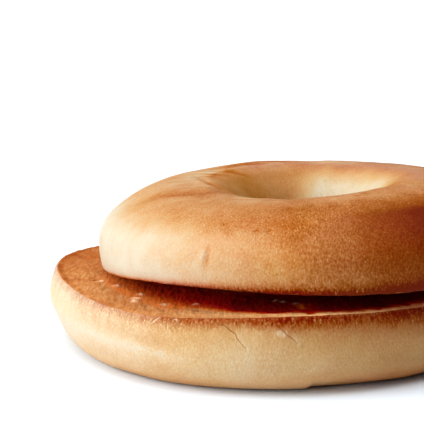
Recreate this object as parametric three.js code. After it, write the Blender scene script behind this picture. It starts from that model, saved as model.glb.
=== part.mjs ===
// A plain bagel, cut in two across its thickness and toasted.
// The bottom half lies crust down on its flat underside. The top half lies on it, crust up:
// it has slipped to one side, and its warped cut face leaves a gap along the front.
// Millimetres and degrees. +Z is up, +X is the way the top half has slipped, -Y is the front.

import * as THREE from 'three';
import { ParametricGeometry } from 'three/addons/geometries/ParametricGeometry.js';
import { mergeVertices } from 'three/addons/utils/BufferGeometryUtils.js';

const { degToRad } = THREE.MathUtils;

// A swell is a soft wave around a half: so many crests, each so high, one of them at this azimuth.
const swell = (crests, height, azimuth) => ({ crests, height, azimuth: degToRad(azimuth) });

// In a half, depth counts from the cut plane towards the crust.
const BOTTOM_HALF = {
  name: 'bottom_half',
  colour: '#e6c493',
  roughness: 0.8,
  facing: -1, // the crust faces down
  thickness: 18.9,
  widestRadius: 55.5,
  widestDepth: 5.7,
  cutInset: 1.3, // the cut edge lies this far inside the widest place
  flatOuterRadius: 44.9, // the underside is flat from here
  flatInnerRadius: 17, // to here
  holeRadius: 11, // at the cut
  cutDish: 1, // how far the cut face sinks towards the hole
  shoulderPower: 2.1, // roundness in plan of the outer shoulder, 2 being a circle's
  crownPower: 2.3, // the same in height
  wallPower: 2.2, // roundness of the hole's wall
  girthSwells: [swell(2, 0.4, -25), swell(3, 0.45, -40), swell(4, 0.85, -19)],
  flatSwells: [swell(2, 0.5, -4), swell(3, 0.5, -14)],
  cutSwells: [swell(1, 1.45, 173), swell(3, 0.3, 41), swell(4, 0.8, -39)],
  thicknessSwells: [],
  place: [-3.8, -0.4, 18.9],
  tilt: [0, 0],
};

const TOP_HALF = {
  name: 'top_half',
  colour: '#d09a5c',
  roughness: 0.7,
  facing: 1, // the crust faces up
  thickness: 19.5,
  widestRadius: 53.8,
  widestDepth: 5.4,
  cutInset: 0.9,
  flatOuterRadius: 27.4, // the crown has no flat: it turns over into the hole here
  flatInnerRadius: 27.4,
  holeRadius: 11,
  cutDish: 1.2,
  shoulderPower: 2.05,
  crownPower: 2.3,
  wallPower: 2,
  girthSwells: [swell(3, 0.5, -5)],
  flatSwells: [],
  cutSwells: [swell(2, 1, 83), swell(3, 0.6, -2), swell(4, 0.3, 44)],
  thicknessSwells: [swell(1, 0.65, 49), swell(2, 0.4, -34)],
  place: [5.9, -1.1, 21.45],
  tilt: [-2.4, -1.35], // about +X, then about +Y
};

// The cut face bends most near its rim.
const CUT_FACE_POWER = 1.5;

// Facets around a half, and along each stretch of its section.
const ROUND_STEPS = 96;
const SECTION = [
  { steps: 4, pointAt: sidePoint },
  { steps: 8, pointAt: shoulderPoint },
  { steps: 1, pointAt: flatPoint },
  { steps: 6, pointAt: holeWallPoint },
  { steps: 5, pointAt: cutFacePoint },
];
const SECTION_STEPS = SECTION.reduce((sum, stretch) => sum + stretch.steps, 0);

// The height of a set of swells at an azimuth.
function swellAt(swells, azimuth) {
  return swells.reduce(
    (sum, wave) => sum + wave.height * Math.cos(wave.crests * (azimuth - wave.azimuth)),
    0,
  );
}

// The sizes of a half's section at one azimuth.
function sectionSizes(half, azimuth) {
  const widestRadius = half.widestRadius + swellAt(half.girthSwells, azimuth);
  return {
    ...half,
    widestRadius,
    cutRadius: widestRadius - half.cutInset,
    cutDepth: swellAt(half.cutSwells, azimuth),
    thickness: half.thickness + swellAt(half.thicknessSwells, azimuth),
    flatOuterRadius: half.flatOuterRadius + swellAt(half.flatSwells, azimuth),
  };
}

// Each stretch of the section takes a share from 0 to 1 and gives [radius, depth].

// From the cut edge out to the widest place.
function sidePoint(sizes, share) {
  const radius = sizes.widestRadius - sizes.cutInset * (1 - share) ** 2;
  const depth = THREE.MathUtils.lerp(sizes.cutDepth, sizes.widestDepth, share);
  return [radius, depth];
}

// From the widest place over the shoulder to the crust's flattest part.
function shoulderPoint(sizes, share) {
  const angle = (share * Math.PI) / 2;
  const reach = Math.cos(angle) ** (2 / sizes.shoulderPower);
  const rise = Math.sin(angle) ** (2 / sizes.crownPower);
  const radius = THREE.MathUtils.lerp(sizes.flatOuterRadius, sizes.widestRadius, reach);
  const depth = THREE.MathUtils.lerp(sizes.widestDepth, sizes.thickness, rise);
  return [radius, depth];
}

// Across the flat of the crust.
function flatPoint(sizes, share) {
  const radius = THREE.MathUtils.lerp(sizes.flatOuterRadius, sizes.flatInnerRadius, share);
  return [radius, sizes.thickness];
}

// Down the hole's rounded wall to the cut face.
function holeWallPoint(sizes, share) {
  const angle = ((1 - share) * Math.PI) / 2;
  const reach = Math.cos(angle) ** (2 / sizes.wallPower);
  const rise = Math.sin(angle) ** (2 / sizes.wallPower);
  const radius = THREE.MathUtils.lerp(sizes.flatInnerRadius, sizes.holeRadius, reach);
  const depth = THREE.MathUtils.lerp(sizes.cutDish, sizes.thickness, rise);
  return [radius, depth];
}

// From the hole out across the cut face to the cut edge.
function cutFacePoint(sizes, share) {
  const radius = THREE.MathUtils.lerp(sizes.holeRadius, sizes.cutRadius, share);
  const depth = THREE.MathUtils.lerp(sizes.cutDish, sizes.cutDepth, share ** CUT_FACE_POWER);
  return [radius, depth];
}

// The point a share of the way around the closed section.
function sectionPoint(sizes, share) {
  let step = share * SECTION_STEPS;
  for (const stretch of SECTION) {
    if (step <= stretch.steps) {
      return stretch.pointAt(sizes, step / stretch.steps);
    }
    step -= stretch.steps;
  }
  return cutFacePoint(sizes, 1);
}

// One half: its section carried around the hole, closed both ways.
function bagelHalf(half) {
  const pointOnHalf = (around, along, target) => {
    const azimuth = half.facing * around * 2 * Math.PI;
    const [radius, depth] = sectionPoint(sectionSizes(half, azimuth), along);
    target.set(radius * Math.cos(azimuth), radius * Math.sin(azimuth), half.facing * depth);
  };
  const sheet = new ParametricGeometry(pointOnHalf, ROUND_STEPS, SECTION_STEPS);
  sheet.deleteAttribute('normal');
  sheet.deleteAttribute('uv');
  const geometry = mergeVertices(sheet);
  geometry.computeVertexNormals();
  const material = new THREE.MeshStandardMaterial({
    color: half.colour,
    roughness: half.roughness,
    metalness: 0,
  });
  const mesh = new THREE.Mesh(geometry, material);
  const [tiltX, tiltY] = half.tilt;
  mesh.name = half.name;
  mesh.position.set(...half.place);
  mesh.rotation.set(degToRad(tiltX), degToRad(tiltY), 0, 'YXZ');
  return mesh;
}

const bagel = new THREE.Group();
bagel.add(bagelHalf(BOTTOM_HALF));
bagel.add(bagelHalf(TOP_HALF));

export default bagel;
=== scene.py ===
# %% [markdown]
# # A toasted bagel, cut in two
# A bagel is a ring of bread dough that is boiled and then baked. Boiling sets a thin, tight
# skin, and baking turns it golden where the heat is strongest. This one was cut across its
# thickness and toasted, and the top half was put back a little askew. The solid model gives
# the frame: where both halves are and how large they are. Here each half gets its crust, its
# toasted crumb and its small accidents.

# %% Load the frame
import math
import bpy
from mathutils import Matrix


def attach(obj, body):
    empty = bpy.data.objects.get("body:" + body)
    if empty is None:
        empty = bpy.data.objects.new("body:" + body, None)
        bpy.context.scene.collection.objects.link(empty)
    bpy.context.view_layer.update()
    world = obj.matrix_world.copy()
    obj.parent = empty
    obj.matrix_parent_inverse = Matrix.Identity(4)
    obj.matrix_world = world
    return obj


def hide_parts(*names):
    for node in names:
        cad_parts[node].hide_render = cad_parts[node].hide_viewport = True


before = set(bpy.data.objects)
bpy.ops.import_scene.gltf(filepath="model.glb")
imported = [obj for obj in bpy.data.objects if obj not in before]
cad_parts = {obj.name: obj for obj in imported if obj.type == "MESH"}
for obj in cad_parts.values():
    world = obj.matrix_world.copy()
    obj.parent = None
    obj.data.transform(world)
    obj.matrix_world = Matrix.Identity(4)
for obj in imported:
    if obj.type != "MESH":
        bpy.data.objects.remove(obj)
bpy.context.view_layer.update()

# %% Libraries and the frame's size
from types import SimpleNamespace

import bpy
import numpy as np
from mathutils import Vector, noise

print("nodes in the frame:", sorted(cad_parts))

# %% [markdown]
# ## The shape of a half
# Each half is one closed skin, so it can be made as a sheet of quads that is rolled up both
# ways, like a ring doughnut: around the hole, and along the section. Sculpting or remeshing
# would also do, but a sheet keeps every point's address. It is known how far each point lies
# around the ring and how far from the cut edge, and both browning and wrinkles follow those.
# The sizes are the solids' own, in millimetres and degrees.

# %% Sizes of the two halves
MM = 0.001


def swell(crests, height, crest_at):
    """A soft wave around a half: so many crests, each so high, one of them at this azimuth."""
    return crests, height, math.radians(crest_at)


BOTTOM = SimpleNamespace(
    name="bottom_half",
    facing=-1,  # the crust faces down
    thickness=18.9,
    widest_radius=55.5,
    widest_depth=5.7,
    cut_inset=1.3,
    flat_outer=44.9,
    flat_inner=17.0,
    hole_radius=11.0,
    cut_dish=1.0,
    shoulder_power=2.1,
    crown_power=2.3,
    wall_power=2.2,
    girth_swells=[swell(2, 0.4, -25), swell(3, 0.45, -40), swell(4, 0.85, -19)],
    flat_swells=[swell(2, 0.5, -4), swell(3, 0.5, -14)],
    cut_swells=[swell(1, 1.45, 173), swell(3, 0.3, 41), swell(4, 0.8, -39)],
    thickness_swells=[],
    place=(-3.8, -0.4, 18.9),
    tilt=(0.0, 0.0),
)
TOP = SimpleNamespace(
    name="top_half",
    facing=1,  # the crust faces up
    thickness=19.5,
    widest_radius=53.8,
    widest_depth=5.4,
    cut_inset=0.9,
    flat_outer=27.4,
    flat_inner=27.4,
    hole_radius=11.0,
    cut_dish=1.2,
    shoulder_power=2.05,
    crown_power=2.3,
    wall_power=2.0,
    girth_swells=[swell(3, 0.5, -5)],
    flat_swells=[],
    cut_swells=[swell(2, 1.0, 83), swell(3, 0.6, -2), swell(4, 0.3, 44)],
    thickness_swells=[swell(1, 0.65, 49), swell(2, 0.4, -34)],
    place=(5.9, -1.1, 21.45),
    tilt=(-2.4, -1.35),
)

# %% [markdown]
# ### From sizes to points
# The section of a half has five stretches: the side under the cut edge, the shoulder, the
# flat, the wall of the hole and the cut face. Each is a short formula. The steps are finest
# where wrinkles and pores have to show, about half a millimetre.

# %% The section of a half
AROUND_STEPS = 600
SECTION_STEPS = {
    "bottom_half": {"side": 16, "shoulder": 44, "flat": 12, "wall": 22, "cut": 64},
    "top_half": {"side": 14, "shoulder": 64, "flat": 0, "wall": 38, "cut": 40},
}
CUT_FACE_POWER = 1.5  # above 1, so that the cut face bends most near its rim
azimuth = np.arange(AROUND_STEPS)[:, None] * 2 * math.pi / AROUND_STEPS


def swell_height(swells):
    """The height of a set of swells at every azimuth."""
    waves = (height * np.cos(crests * (azimuth - at)) for crests, height, at in swells)
    return sum(waves, 0 * azimuth)


def lerp(start, end, share):
    """From start to end, by a share from 0 to 1."""
    return start + (end - start) * share


def rounded_quarter(share, reach_power, rise_power):
    """How far out and how high a rounded corner is, with the powers of a circle being 2."""
    angle = share * math.pi / 2
    return np.cos(angle) ** (2 / reach_power), np.sin(angle) ** (2 / rise_power)


def section_points(half):
    """Radius and depth in mm of every point, and where the cut face begins."""
    steps = SECTION_STEPS[half.name]
    shares = {part: np.linspace(0, 1, count + 1)[None, :-1] for part, count in steps.items()}
    widest = half.widest_radius + swell_height(half.girth_swells)
    cut_radius = widest - half.cut_inset
    cut_depth = swell_height(half.cut_swells)
    thickness = half.thickness + swell_height(half.thickness_swells)
    flat_outer = half.flat_outer + swell_height(half.flat_swells)

    side, cut = shares["side"], shares["cut"]
    reach, rise = rounded_quarter(shares["shoulder"], half.shoulder_power, half.crown_power)
    wall_reach, wall_rise = rounded_quarter(1 - shares["wall"], half.wall_power, half.wall_power)
    radius = [
        widest - half.cut_inset * (1 - side) ** 2,
        lerp(flat_outer, widest, reach),
        lerp(flat_outer, half.flat_inner, shares["flat"]),
        lerp(half.flat_inner, half.hole_radius, wall_reach) + 0 * azimuth,
        lerp(half.hole_radius, cut_radius, cut),
    ]
    depth = [
        lerp(cut_depth, half.widest_depth, side),
        lerp(half.widest_depth, thickness, rise),
        thickness + 0 * shares["flat"],
        lerp(half.cut_dish, thickness, wall_rise),
        lerp(half.cut_dish, cut_depth, cut**CUT_FACE_POWER),
    ]
    first_cut = sum(steps.values()) - steps["cut"]
    return np.concatenate(radius, 1), np.concatenate(depth, 1), first_cut


# %% [markdown]
# ### Each half in its place
# A half is worked out around its own axis, with its cut at height zero. Then it is tilted a
# little and moved to where it lies. The object's own place and rotation in Blender could do
# that too. With the points themselves moved, patterns keep their real sizes and directions.

# %% Placing the points
def placed(half, radius, depth):
    """The points of a half in the frame, in mm."""
    points = np.stack(
        [radius * np.cos(azimuth), radius * np.sin(azimuth), half.facing * depth], -1
    )
    tilt_x, tilt_y = (math.radians(angle) for angle in half.tilt)
    about_x = np.array([
        [1, 0, 0],
        [0, math.cos(tilt_x), -math.sin(tilt_x)],
        [0, math.sin(tilt_x), math.cos(tilt_x)],
    ])
    about_y = np.array([
        [math.cos(tilt_y), 0, math.sin(tilt_y)],
        [0, 1, 0],
        [-math.sin(tilt_y), 0, math.cos(tilt_y)],
    ])
    return points @ (about_y @ about_x).T + np.array(half.place)


def outward(half, points):
    """The outward normal at every point of a rolled-up sheet."""
    around = np.roll(points, -1, 0) - np.roll(points, 1, 0)
    along = np.roll(points, -1, 1) - np.roll(points, 1, 1)
    normal = half.facing * np.cross(around, along)
    return normal / np.linalg.norm(normal, axis=-1, keepdims=True)


# %% The plain sheets
def make_sheet(half):
    """The plain skin of a half, with the addresses of its points."""
    radius, depth, first_cut = section_points(half)
    points = placed(half, radius, depth)
    # How far along the section each point lies, from the cut edge over the crust.
    step = np.linalg.norm(np.diff(points, axis=1), axis=-1)
    arc = np.concatenate([0 * azimuth, np.cumsum(step, 1)], 1)
    crust_length = arc[:, first_cut][:, None]
    # How far each point lies from the nearest cut edge: above zero on the crust, below on the cut.
    rim = np.minimum(arc, crust_length - arc)
    face = np.minimum(radius[:, :1] - radius, radius - half.hole_radius)
    rim[:, first_cut:] = -face[:, first_cut:]
    half.points, half.normal = points, outward(half, points)
    half.radius, half.arc, half.rim = radius, arc, rim
    half.crust = np.arange(arc.shape[1])[None, :] < first_cut
    print(f"{half.name}: {arc.size} points, crust {crust_length.mean():.0f} mm along the section")


for half in (BOTTOM, TOP):
    make_sheet(half)

# %% [markdown]
# ## Relief
# Dough is never quite even. Its large lumps, its wrinkles and its cracks are real shape, so
# they move the points along their normals. Sculpting would also do, but here each one is a
# soft function of the points' addresses, and can be changed by one number. Blender's own
# noise functions give lumps of a chosen size, and they are the same on every run.

# %% Soft noise, soft steps and soft patches
SEED_STEP = (17.3, 5.1, 9.7)  # each seed looks at the noise this much further on


def lumps(points, size, seed, stretch=(1, 1, 1)):
    """Soft noise from about -1 to 1 with lumps of this size in mm, drawn out along an axis."""
    offset = Vector([seed * step for step in SEED_STEP])
    flat = (points / np.array(stretch) / size).reshape(-1, 3)
    values = [noise.noise(Vector(point) + offset) for point in flat]
    return np.array(values).reshape(points.shape[:-1])


def layers(points, rows):
    """Noise on noise, from rows of strength, size in mm, seed and, if need be, stretch."""
    return sum(strength * lumps(points, *settings) for strength, *settings in rows)


def smooth(start, end, value):
    """Goes softly from 0 at start to 1 at end."""
    share = np.clip((value - start) / (end - start), 0, 1)
    return share * share * (3 - 2 * share)


def bell(value, width):
    """1 at zero, and falling softly to almost nothing at twice the width."""
    return np.exp(-((value / width) ** 2))


def around_from(degrees):
    """The angle from this azimuth, in degrees from -180 to 180."""
    from_there = azimuth - math.radians(degrees)
    return np.degrees(np.arctan2(np.sin(from_there), np.cos(from_there)))


def patches(half, rows):
    """Soft patches on the crust, from rows of azimuth, width in degrees, mm from the cut edge,
    width in mm and strength."""
    return sum(
        strength * bell(around_from(degrees), degrees_wide) * bell(half.arc - arc, mm_wide)
        for degrees, degrees_wide, arc, mm_wide, strength in rows
    )


# %% [markdown]
# ### Lines and spots on the skin
# A crack or a fold is a line through a few corners. Each corner has an address: its azimuth,
# and its way from the cut edge. The mesh could be cut along such a line, but the distance to
# it does as well: it tells how deep the skin sinks there, and how dark it is. It is measured
# from points that waver a little, so no line looks drawn with a ruler.

# %% Lines and spots
WAVER_MM = 0.25
WAVER_SIZE_MM = 2.5


def spot(half, degrees, way, on_cut=False):
    """The point at an azimuth: this far from the cut edge on the crust, or from the hole's
    axis on the cut face."""
    row = round(degrees % 360 / 360 * AROUND_STEPS) % AROUND_STEPS
    ways = half.radius[row] if on_cut else half.arc[row]
    wanted = half.crust[0] != on_cut
    return half.points[row, np.argmin(np.where(wanted, np.abs(ways - way), np.inf))]


def line_on(half, corners):
    """Distance in mm to a line through corners, above zero on its left, and how far along
    the line the nearest place is, from 0 to 1."""
    spots = [spot(half, *corner) for corner in corners]
    nearest = np.full(half.arc.shape, np.inf)
    side = np.ones(half.arc.shape)
    along = np.zeros(half.arc.shape)
    for number, (start, end) in enumerate(zip(spots, spots[1:])):
        run = end - start
        share = np.clip((half.wavering - start) @ run / (run @ run), 0, 1)
        gap = half.wavering - (start + share[..., None] * run)
        distance = np.linalg.norm(gap, axis=-1)
        turned = np.sum(np.cross(run, gap) * half.normal, -1)
        closer = distance < nearest
        nearest = np.where(closer, distance, nearest)
        side = np.where(closer, np.sign(turned), side)
        along = np.where(closer, (number + share) / (len(spots) - 1), along)
    return nearest * side, along


def near_spots(half, spots, width, on_cut=False):
    """1 at any of some spots, falling to 0 a width or two away."""
    gaps = [np.linalg.norm(half.wavering - spot(half, *at, on_cut), axis=-1) for at in spots]
    return bell(np.min(gaps, axis=0), width)


for half in (BOTTOM, TOP):
    waver = np.stack([lumps(half.points, WAVER_SIZE_MM, seed) for seed in (31, 32, 33)], -1)
    half.wavering = half.points + WAVER_MM * waver

# %% [markdown]
# ### Cracks, hooks and tears
# Two cracks run down from the bottom half's cut edge: they opened when the bread was pressed
# to cut it. Further left the blade caught the skin, tore it in four places and rolled it up
# into small hooks. A painted image could show them, but only in colour. As distances they
# serve both the relief and the material. Each line thins out at both ends.

# %% Cracks, hooks and tears of the bottom half
# The corners of each line: azimuth, and mm from the cut edge.
CRACKS = [
    [(-105.6, 0.1), (-103.4, 0.4), (-102.6, 0.9), (-101.6, 1.7), (-100.2, 1.9), (-99.0, 2.7),
     (-98.0, 3.6), (-97.0, 4.6), (-96.3, 5.6), (-95.7, 6.8), (-94.8, 8.9)],
    [(-88.4, 1.2), (-87.5, 2.2), (-86.5, 3.3), (-85.6, 4.4), (-84.1, 5.4), (-82.8, 6.8)],
]
HOOKS = [
    [(-117.2, 0.0), (-117.3, 0.8), (-118.6, 1.6), (-120.0, 2.9)],
    [(-113.4, 0.8), (-112.6, 0.4), (-112.0, 1.4)],
    [(-114.8, 2.0), (-114.6, 3.4)],
]
TEARS = [
    [(-114.2, 1.0), (-113.4, 0.1), (-112.3, -0.2)],
    [(-111.7, -0.2), (-111.2, 0.5), (-111.6, 1.3)],
    [(-107.4, -0.2), (-106.6, 0.3), (-105.8, 0.5)],
    [(-116.4, 0.2), (-116.2, 1.4)],
]
FAR_OFF_MM = 9.0  # where there are no lines at all


def thin_lines(half, lines):
    """Signed distance to the nearest of some lines. Each one thins out at both ends: there it
    counts as further away."""
    nearest = np.full(half.arc.shape, FAR_OFF_MM)
    for corners in lines:
        gap, share = line_on(half, corners)
        gap = gap / np.maximum(np.sin(math.pi * lerp(0.12, 0.93, share)), 0.1)
        nearest = np.where(np.abs(gap) < np.abs(nearest), gap, nearest)
    return nearest


BOTTOM.crack = thin_lines(BOTTOM, CRACKS)
BOTTOM.hook = thin_lines(BOTTOM, HOOKS)
BOTTOM.tear = thin_lines(BOTTOM, TEARS)
# The top half has none.
TOP.crack = TOP.hook = TOP.tear = thin_lines(TOP, [])
print(f"{len(CRACKS)} cracks, {len(HOOKS)} hooks, {len(TEARS)} tears")

# %% [markdown]
# ### The bottom half's crust
# The bottom half lay on the baking tray, so its underside is flat. Under the cut edge the
# knife dragged the skin down into fine upright wrinkles. On one side of each crack the skin
# stands a little proud. At the front it stuck to the tray, which leaves a shallow notch in
# the heel. The left side bulges a little, and so does the heel under it, and at the back left
# the cut edge stands higher. The edge itself is worn and slightly ragged all round. All of
# this is added up into one height for each point, so every part of it can be left out alone.

# %% Relief of the bottom half
# Lumps: height and size in mm, and the seed of their noise.
BOTTOM_LUMPS = [(0.3, 26, 1), (0.1, 9, 2), (0.035, 1.6, 3)]
# Bulges: azimuth, width in degrees, mm from the cut edge, width in mm, and height.
BULGES = [(-170, 20, 6.8, 3.2, 0.7), (-150, 16, 17.2, 4, 0.4)]
# How wide, high or deep the other parts are, in mm.
EDGE_WEAR = 0.22
EDGE_WIDTH = 0.5
RAGGED_SIZE = 2.3
NOTCH_DEPTH = 0.8
WRINKLE_REACH = 5.0
WRINKLE_HEIGHT = 0.07
PROUD_SKIN = 0.13
CRACK_DEPTH = 0.1
TEAR_DEPTH = 0.12
HOOK_HEIGHT = 0.14
HOOK_HOLLOW = 0.1
RAISED_EDGE = 0.42
NOTCH_AZIMUTH, RAISED_AZIMUTH = -80, 163


def edge_wear(half, seed):
    """What is worn off the cut edge, so it is never above zero."""
    ragged = np.clip(0.5 + 0.7 * lumps(half.points, RAGGED_SIZE, seed), 0, 1.2)
    return -EDGE_WEAR * (0.6 + ragged) * bell(half.rim, EDGE_WIDTH)


wrinkles = lumps(BOTTOM.points, 1.3, 4, (1, 1, 7)) * smooth(WRINKLE_REACH, 0.5, BOTTOM.rim)
proud = smooth(-0.25, 0.25, BOTTOM.crack) * smooth(3.0, 0.2, BOTTOM.crack)
rolled_up = HOOK_HEIGHT * bell(BOTTOM.hook - 0.1, 0.4) - HOOK_HOLLOW * bell(BOTTOM.hook + 0.6, 0.45)
from_notch = around_from(NOTCH_AZIMUTH)
notch = smooth(0, 2.5, from_notch) * smooth(30, 6, from_notch) * bell(BOTTOM.arc - 20.5, 4.0)
raised = bell(around_from(RAISED_AZIMUTH), 17) * smooth(-5, -1, BOTTOM.rim) * smooth(3, 0, BOTTOM.rim)
BOTTOM.relief = layers(BOTTOM.points, BOTTOM_LUMPS) + patches(BOTTOM, BULGES)
BOTTOM.relief += WRINKLE_HEIGHT * wrinkles + PROUD_SKIN * proud + rolled_up - NOTCH_DEPTH * notch
BOTTOM.relief -= CRACK_DEPTH * bell(BOTTOM.crack, 0.4) + TEAR_DEPTH * bell(BOTTOM.tear, 0.5)
BOTTOM.relief = BOTTOM.relief * BOTTOM.crust + RAISED_EDGE * raised + edge_wear(BOTTOM, 24)
print(f"bottom half: crust relief from {BOTTOM.relief.min():.2f} to {BOTTOM.relief.max():.2f} mm")

# %% [markdown]
# ### Round the hole
# The crown is smooth and tight over most of its width. Around the hole the dough was pushed
# together when the ring was formed. That leaves soft folds that run out from the hole, each a
# groove with a rounded ridge along its left side, and a few narrow ridges, dents and blisters.
# A simulated cloth would fold as softly, but not in places that can be chosen, so these are
# lines and spots again. The last fold is a short nick in the side.

# %% Folds, ridges, dents and blisters
# Folds: depth, width of the groove, width of its browning and painted shade, and the corners of the
# line.
FOLDS = [
    (0.22, 1.6, 3.2, [
        (-167, 20), (-162.6, 23.5), (-159.6, 27), (-155.5, 31), (-150.6, 34.7), (-148, 37),
        (-147, 42),
    ]),
    (0.5, 0.9, 1.1, [
        (-156, 43), (-161, 43), (-169, 42.7), (-176, 41.7), (177, 40.5), (166.8, 37.7),
    ]),
    (0.28, 0.9, 1.1, [(134, 33), (126, 36), (112, 40)]),
    (0.12, 0.9, 0.9, [(150, 38), (143, 43), (139, 46)]),
    (0.12, 0.9, 1.1, [(-132, 33), (-122, 35.5), (-112, 36.5), (-104, 37)]),
    (0.22, 0.5, 0.6, [(-116.2, 5), (-115.8, 7.3), (-116.4, 10.5)]),
]
RIDGES = [
    [(-168, 33.5), (-166, 38), (-160.5, 42.5), (-164, 46)],
    [(-128, 37.5), (-120, 36), (-113, 36.2)],
    [(124, 42.5), (119, 41), (112, 39.5), (104, 37.2)],
]
DENTS = [
    (-105, 16.1), (-101.5, 16.2), (-93.6, 14.3), (-115.8, 17.8), (-68, 35.8), (-62.4, 37.8),
    (-93, 27.2), (-97, 28), (-90, 29.5),
]
BLISTERS = [(-75.6, 30.2), (-117.2, 8.2), (-88, 20), (-80, 34)]
RIDGE_WIDTH, DENT_WIDTH, BLISTER_WIDTH = 0.9, 0.9, 0.8
# The ridge beside a groove, measured by the groove: how high, how wide and how far to the left.
BESIDE_HEIGHT, BESIDE_WIDTH, BESIDE_WAY = 0.6, 1.4, 2.4

TOP.creases = 0 * TOP.arc
TOP.fold = 0 * TOP.arc
for depth, width, tan_width, corners in FOLDS:
    gap, share = line_on(TOP, corners)
    fade = np.sin(math.pi * lerp(0.1, 0.9, share))
    beside = BESIDE_HEIGHT * bell(gap - BESIDE_WAY * width, BESIDE_WIDTH * width)
    TOP.creases += depth * fade * (beside - bell(gap, width))
    TOP.fold = np.maximum(TOP.fold, fade * bell(gap, tan_width))
TOP.ridge = 0 * TOP.arc
for corners in RIDGES:
    gap, share = line_on(TOP, corners)
    TOP.ridge = np.maximum(TOP.ridge, np.sin(math.pi * share) * bell(gap, RIDGE_WIDTH))
TOP.dent = near_spots(TOP, DENTS, DENT_WIDTH)
TOP.blister = near_spots(TOP, BLISTERS, BLISTER_WIDTH)
print(f"{len(FOLDS)} folds, {len(RIDGES)} ridges, {len(DENTS)} dents, {len(BLISTERS)} blisters")

# %% [markdown]
# ### The top half's crust
# The left shoulder slopes more than the rest. The rim of the hole is swollen at the front
# left, and its far side goes up and down. Fine ripples run along the section there, like the
# neck of a drawstring bag. They come from noise on a narrow ring that is drawn out in height.

# %% Relief of the top half
TOP_LUMPS = [(0.35, 30, 5), (0.12, 10, 6), (0.035, 1.6, 7)]
SLOPING_SHOULDER = [(177, 22, 18.3, 8.2, -0.9)]
# Swells and dips of the far rim: azimuth, width in degrees and height.
FAR_RIM = [(160, 14, -0.25), (140, 8, -0.2), (114, 9, 0.3), (89, 6, -0.4), (66, 16, -0.27)]
FAR_RIM_ARC, FAR_RIM_WIDTH = 34.0, 8.0
SWOLLEN_RIM = [(-168, 37.8), (-160, 37.4), (-152, 37.2), (-144, 37.2), (-136, 37)]
SWELLING_HEIGHT = 0.45
RIPPLE_HEIGHT = 0.2
RIPPLE_RADIUS = 14.0
RIPPLE_DRAWN_OUT = 6.0
RIDGE_HEIGHT = 0.2
DENT_DEPTH = 0.12
BLISTER_HEIGHT = 0.2


def unroll(half, radius, drawn_out):
    """The skin of a half on an upright ring, with what lies along the section drawn out."""
    across = [radius * np.cos(azimuth) + 0 * half.arc, radius * np.sin(azimuth) + 0 * half.arc]
    return np.stack([*across, half.arc / drawn_out], -1)


rippled_skin = unroll(TOP, RIPPLE_RADIUS, RIPPLE_DRAWN_OUT)
ripples = lumps(rippled_skin, 2.6, 8) * bell(TOP.arc - 39, 7)
gap, share = line_on(TOP, SWOLLEN_RIM)
swelling = np.sin(math.pi * share) * bell(gap, 2.4)
far_rim = [(*place, FAR_RIM_ARC, FAR_RIM_WIDTH, height) for *place, height in FAR_RIM]
TOP.relief = layers(TOP.points, TOP_LUMPS) + patches(TOP, SLOPING_SHOULDER + far_rim)
TOP.relief += RIPPLE_HEIGHT * ripples + SWELLING_HEIGHT * swelling + TOP.creases
TOP.relief += RIDGE_HEIGHT * TOP.ridge - DENT_DEPTH * TOP.dent + BLISTER_HEIGHT * TOP.blister
TOP.relief = TOP.relief * TOP.crust + edge_wear(TOP, 25)
print(f"top half: crust relief from {TOP.relief.min():.2f} to {TOP.relief.max():.2f} mm")

# %% [markdown]
# ### The cut faces
# Bagel crumb is dense, with small round bubbles. Toasting dries it into a rough, hard sheet.
# The bubbles that the knife opened could be cut out of the mesh as spheres, but thousands of
# cuts are slow. Here they are pits from a cell pattern: each cell has a bubble of its own size
# at its centre. Almost all of this sinks into the bread, so the halves don't run into each
# other.

# %% Relief of the cut faces
PORES = {"spacing": 3.4, "radius": 1.25}
FINE_PORES = {"spacing": 1.9, "radius": 0.6}
SMALLEST_PORE, PORE_SPREAD = 0.35, 0.9  # shares of the radius
PORE_DEPTH = 0.42
FINE_PORE_DEPTH = 0.16
CRUMB_WEAR = 0.16
# The cells are drawn out in height, so that the warped cut face goes through each one only once.
CELL_HEIGHT_SCALE = 0.35
CELL_SEED_STEP = (3.7, 8.3, 0)
CHANCE_STEP = 7.3


def pores(half, seed, spacing, radius):
    """How far each point of the cut face lies inside a bubble, from 0 to 1."""
    depth = np.zeros(half.arc.shape)
    face_points = half.points[:, ~half.crust[0]] * (1, 1, CELL_HEIGHT_SCALE)
    offset = Vector([seed * step for step in CELL_SEED_STEP])
    nearest = []
    for point in (face_points / spacing).reshape(-1, 3):
        distances, centres = noise.voronoi(Vector(point) + offset)
        pore_size = radius * (SMALLEST_PORE + PORE_SPREAD * noise.cell(centres[0] * CHANCE_STEP))
        nearest.append(distances[0] * spacing / pore_size)
    inside = np.clip(1 - np.array(nearest).reshape(face_points.shape[:-1]) ** 2, 0, 1)
    depth[:, ~half.crust[0]] = inside
    return depth


for half, seed in ((BOTTOM, 9), (TOP, 10)):
    large = pores(half, seed, **PORES)
    fine = pores(half, seed + 20, **FINE_PORES)
    half.pore = np.maximum(large, 0.7 * fine)
    uneven = layers(half.points, [(0.16, 4.5, seed + 2), (0.1, 1.6, seed + 4)])
    sunk = CRUMB_WEAR + uneven + PORE_DEPTH * large**0.5 + FINE_PORE_DEPTH * fine**0.5
    half.relief -= sunk * smooth(0, -1.2, half.rim)
    print(f"{half.name}: {np.mean(half.pore[:, ~half.crust[0]] > 0):.0%} of the cut face is bubbles")

# %% [markdown]
# ## Browning
# How brown the crust is at each point is a number from 0, pale dough, to 1, nearly burnt. It
# grows towards one side, partly as real browning and partly as painted shade on the side turned
# away from the lamps, so most of it depends on the turn: the angle around the ring from that
# darkest side. A few given pairs of turn and browning give each zone, and soft steps join the
# zones. Painting by hand in Blender would do too, but numbers are easier to change. They are
# stored on the points, and the material turns them into colour.

# %% What follows the turn
# The azimuth where the crust is darkest: partly real browning, partly painted shade.
DARKEST_SIDE = -20.0
turn = np.abs(around_from(DARKEST_SIDE))


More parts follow.
